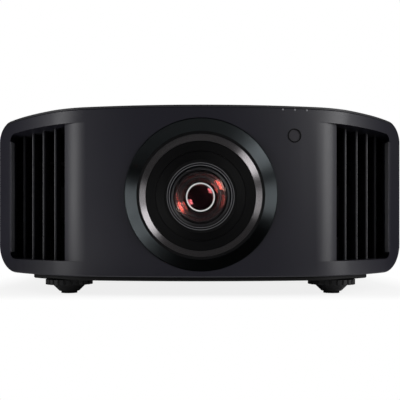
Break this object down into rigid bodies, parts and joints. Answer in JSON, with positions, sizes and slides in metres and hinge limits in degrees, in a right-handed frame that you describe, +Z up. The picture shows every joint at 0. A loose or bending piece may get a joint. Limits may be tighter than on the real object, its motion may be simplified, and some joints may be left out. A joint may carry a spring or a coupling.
{
  "type": "home cinema projector",
  "caption": "Black home cinema projector with a shifting zoom lens in a swept front, louvred side vents, rear sockets and keys, and screw feet.",
  "frame": {"origin": "middle of the footprint, on the surface that the feet stand on", "axes": "+Z up, the lens faces -Y, +X to the right as seen from the front"},
  "size_m": [0.45, 0.479, 0.181],
  "materials": {
    "casing": "fine spark-eroded texture, black",
    "bezel": "smooth satin black",
    "louver": "satin black",
    "base": "black powder coat",
    "surround": "black anodised, spun",
    "trim": "dark anodised, spun",
    "hood": "flocked black",
    "glass": "coated, polished",
    "retainer": "black anodised",
    "bright_ring": "satin, bright",
    "barrel": "black anodised",
    "gear": "moulded",
    "steel": "ground",
    "engine": "die cast",
    "imager": "coated",
    "heatsink": "extruded",
    "fan": "moulded",
    "board": "solder mask",
    "socket": "plated",
    "inlet": "moulded",
    "key": "satin",
    "window": "dark tinted",
    "lamp": "clear",
    "screw": "black zinc",
    "filter": "open foam",
    "rubber": "matt",
    "foot": "moulded, fluted"
  },
  "bodies": {
    "chassis": {"top_cover": "casing", "lower_case": "casing", "rear_panel": "casing", "front_bezel": "bezel", "base_plate": "base", "left_louvers": "louver", "right_louvers": "louver", "lens_surround": "surround", "ir_windows": "window", "indicator_lights": "lamp", "case_screws": "screw", "intake_grille": "louver", "air_filter": "filter", "vertical_rods": "steel", "vertical_motor": "steel", "engine_housing": "engine", "prism_cube": "glass", "imaging_panels": "imager", "laser_module": "engine", "laser_heatsink": "heatsink", "left_fan_frame": "fan", "right_fan_frame": "fan", "fan_brackets": "steel", "main_board": "board", "terminal_jacks": "socket", "power_supply": "board", "ac_inlet": "inlet"},
    "shift_carriage": {"shift_plate_vertical": "engine", "horizontal_rods": "steel", "horizontal_motor": "steel"},
    "lens": {"lens_trim_ring": "trim", "lens_hood": "hood", "front_retainer": "retainer", "front_element": "glass", "inner_elements": "glass", "inner_retainer": "bright_ring", "lens_barrel": "barrel", "shift_plate_horizontal": "engine", "lens_motors": "steel"},
    "focus_ring": {"focus_ring": "gear"},
    "focus_pinion": {"focus_pinion": "gear"},
    "zoom_ring": {"zoom_ring": "gear"},
    "zoom_pinion": {"zoom_pinion": "gear"},
    "vertical_screw": {"vertical_screw": "steel"},
    "horizontal_screw": {"horizontal_screw": "steel"},
    "left_fan_rotor": {"left_fan_rotor": "fan"},
    "right_fan_rotor": {"right_fan_rotor": "fan"},
    "power_key": {"power_key": "key"},
    "menu_key": {"menu_key": "key"},
    "up_key": {"up_key": "key"},
    "down_key": {"down_key": "key"},
    "enter_key": {"enter_key": "key"},
    "front_left_pad": {"front_left_foot_pad": "rubber"},
    "front_left_knob": {"front_left_foot_knob": "foot"},
    "front_right_pad": {"front_right_foot_pad": "rubber"},
    "front_right_knob": {"front_right_foot_knob": "foot"},
    "rear_left_pad": {"rear_left_foot_pad": "rubber"},
    "rear_left_knob": {"rear_left_foot_knob": "foot"},
    "rear_right_pad": {"rear_right_foot_pad": "rubber"},
    "rear_right_knob": {"rear_right_foot_knob": "foot"}
  },
  "joints": [
    {"name": "lens_shift_vertical", "type": "slide", "parent": "chassis", "child": "shift_carriage", "axis": [0, 0, 1], "range_m": [-0.006, 0.006]},
    {"name": "lens_shift_sideways", "type": "slide", "parent": "shift_carriage", "child": "lens", "axis": [1, 0, 0], "range_m": [-0.0045, 0.0045]},
    {"name": "vertical_screw_turn", "type": "hinge", "parent": "chassis", "child": "vertical_screw", "pos_m": [-0.062, -0.0779, 0.0965], "axis": [0, 0, 1], "range_deg": [-1081, 1081]},
    {"name": "horizontal_screw_turn", "type": "hinge", "parent": "shift_carriage", "child": "horizontal_screw", "pos_m": [0, -0.1019, 0.1585], "axis": [1, 0, 0], "range_deg": [-811, 811]},
    {"name": "focus_turn", "type": "hinge", "parent": "lens", "child": "focus_ring", "pos_m": [0, -0.1735, 0.0965], "axis": [0, 1, 0], "range_deg": [-60, 60]},
    {"name": "focus_pinion_turn", "type": "hinge", "parent": "lens", "child": "focus_pinion", "pos_m": [0.04137, -0.1735, 0.06179], "axis": [0, 1, 0], "range_deg": [-345.5, 345.5]},
    {"name": "zoom_turn", "type": "hinge", "parent": "lens", "child": "zoom_ring", "pos_m": [0, -0.1475, 0.0965], "axis": [0, 1, 0], "range_deg": [-30, 30]},
    {"name": "zoom_pinion_turn", "type": "hinge", "parent": "lens", "child": "zoom_pinion", "pos_m": [-0.04137, -0.1475, 0.06179], "axis": [0, 1, 0], "range_deg": [-173, 173]},
    {"name": "left_fan_spin", "type": "hinge", "parent": "chassis", "child": "left_fan_rotor", "pos_m": [-0.168, -0.0875, 0.0965], "axis": [0, 1, 0], "continuous": true},
    {"name": "right_fan_spin", "type": "hinge", "parent": "chassis", "child": "right_fan_rotor", "pos_m": [0.168, -0.0875, 0.0965], "axis": [0, 1, 0], "continuous": true},
    {"name": "power_key_press", "type": "slide", "parent": "chassis", "child": "power_key", "axis": [0, -1, 0], "range_m": [0, 0.001], "stiffness_N_per_m": 600, "springref_m": -0.002},
    {"name": "menu_key_press", "type": "slide", "parent": "chassis", "child": "menu_key", "axis": [0, -1, 0], "range_m": [0, 0.001], "stiffness_N_per_m": 600, "springref_m": -0.002},
    {"name": "up_key_press", "type": "slide", "parent": "chassis", "child": "up_key", "axis": [0, -1, 0], "range_m": [0, 0.001], "stiffness_N_per_m": 600, "springref_m": -0.002},
    {"name": "down_key_press", "type": "slide", "parent": "chassis", "child": "down_key", "axis": [0, -1, 0], "range_m": [0, 0.001], "stiffness_N_per_m": 600, "springref_m": -0.002},
    {"name": "enter_key_press", "type": "slide", "parent": "chassis", "child": "enter_key", "axis": [0, -1, 0], "range_m": [0, 0.001], "stiffness_N_per_m": 600, "springref_m": -0.002},
    {"name": "front_left_foot_extend", "type": "slide", "parent": "chassis", "child": "front_left_pad", "axis": [0, 0, -1], "range_m": [0, 0.008]},
    {"name": "front_left_foot_turn", "type": "hinge", "parent": "front_left_pad", "child": "front_left_knob", "pos_m": [-0.133, -0.1905, 0], "axis": [0, 0, -1], "range_deg": [0, 2300]},
    {"name": "front_right_foot_extend", "type": "slide", "parent": "chassis", "child": "front_right_pad", "axis": [0, 0, -1], "range_m": [0, 0.008]},
    {"name": "front_right_foot_turn", "type": "hinge", "parent": "front_right_pad", "child": "front_right_knob", "pos_m": [0.133, -0.1905, 0], "axis": [0, 0, -1], "range_deg": [0, 2300]},
    {"name": "rear_left_foot_extend", "type": "slide", "parent": "chassis", "child": "rear_left_pad", "axis": [0, 0, -1], "range_m": [0, 0.008]},
    {"name": "rear_left_foot_turn", "type": "hinge", "parent": "rear_left_pad", "child": "rear_left_knob", "pos_m": [-0.133, 0.1795, 0], "axis": [0, 0, -1], "range_deg": [0, 2300]},
    {"name": "rear_right_foot_extend", "type": "slide", "parent": "chassis", "child": "rear_right_pad", "axis": [0, 0, -1], "range_m": [0, 0.008]},
    {"name": "rear_right_foot_turn", "type": "hinge", "parent": "rear_right_pad", "child": "rear_right_knob", "pos_m": [0.133, 0.1795, 0], "axis": [0, 0, -1], "range_deg": [0, 2300]}
  ],
  "couplings": [
    {"joint": "vertical_screw_turn", "follows": "lens_shift_vertical", "rad_per_m": 3141.6},
    {"joint": "horizontal_screw_turn", "follows": "lens_shift_sideways", "rad_per_m": 3141.6},
    {"joint": "focus_pinion_turn", "follows": "focus_turn", "ratio": -5.75},
    {"joint": "zoom_pinion_turn", "follows": "zoom_turn", "ratio": -5.75},
    {"joint": "front_left_foot_extend", "follows": "front_left_foot_turn", "m_per_rad": 0.00019894},
    {"joint": "front_right_foot_extend", "follows": "front_right_foot_turn", "m_per_rad": 0.00019894},
    {"joint": "rear_left_foot_extend", "follows": "rear_left_foot_turn", "m_per_rad": 0.00019894},
    {"joint": "rear_right_foot_extend", "follows": "rear_right_foot_turn", "m_per_rad": 0.00019894}
  ]
}
